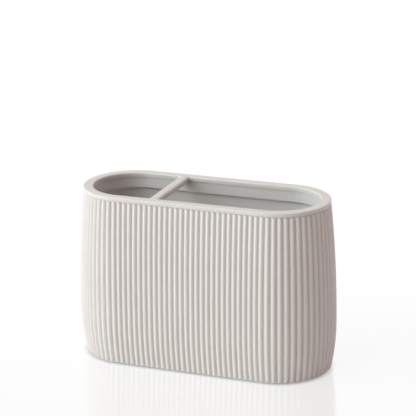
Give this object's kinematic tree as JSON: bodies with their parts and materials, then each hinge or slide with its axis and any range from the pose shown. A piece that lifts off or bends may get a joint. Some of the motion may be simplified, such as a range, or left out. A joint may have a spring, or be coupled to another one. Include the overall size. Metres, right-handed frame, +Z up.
{
  "type": "toothbrush holder",
  "caption": "Reeded oval toothbrush holder with a lift-off top frame whose bar splits the mouth into a small and a large space.",
  "frame": {"origin": "on the surface the holder stands on, below the middle of the cup", "axes": "+Z up, +X to the right along the long side as seen from the front, front towards -Y"},
  "size_m": [0.1534, 0.0654, 0.1],
  "materials": {
    "moulded_resin": "matte moulded, warm light grey",
    "foot_silicone": "matte, soft grey"
  },
  "bodies": {
    "holder": {"cup": "moulded_resin", "foot_front_left": "foot_silicone", "foot_front_right": "foot_silicone", "foot_back_left": "foot_silicone", "foot_back_right": "foot_silicone"},
    "frame": {"top_frame": "moulded_resin"}
  },
  "joints": [
    {"name": "frame_lift", "type": "slide", "parent": "holder", "child": "frame", "axis": [0, 0, 1], "range_m": [0, 0.04]}
  ]
}
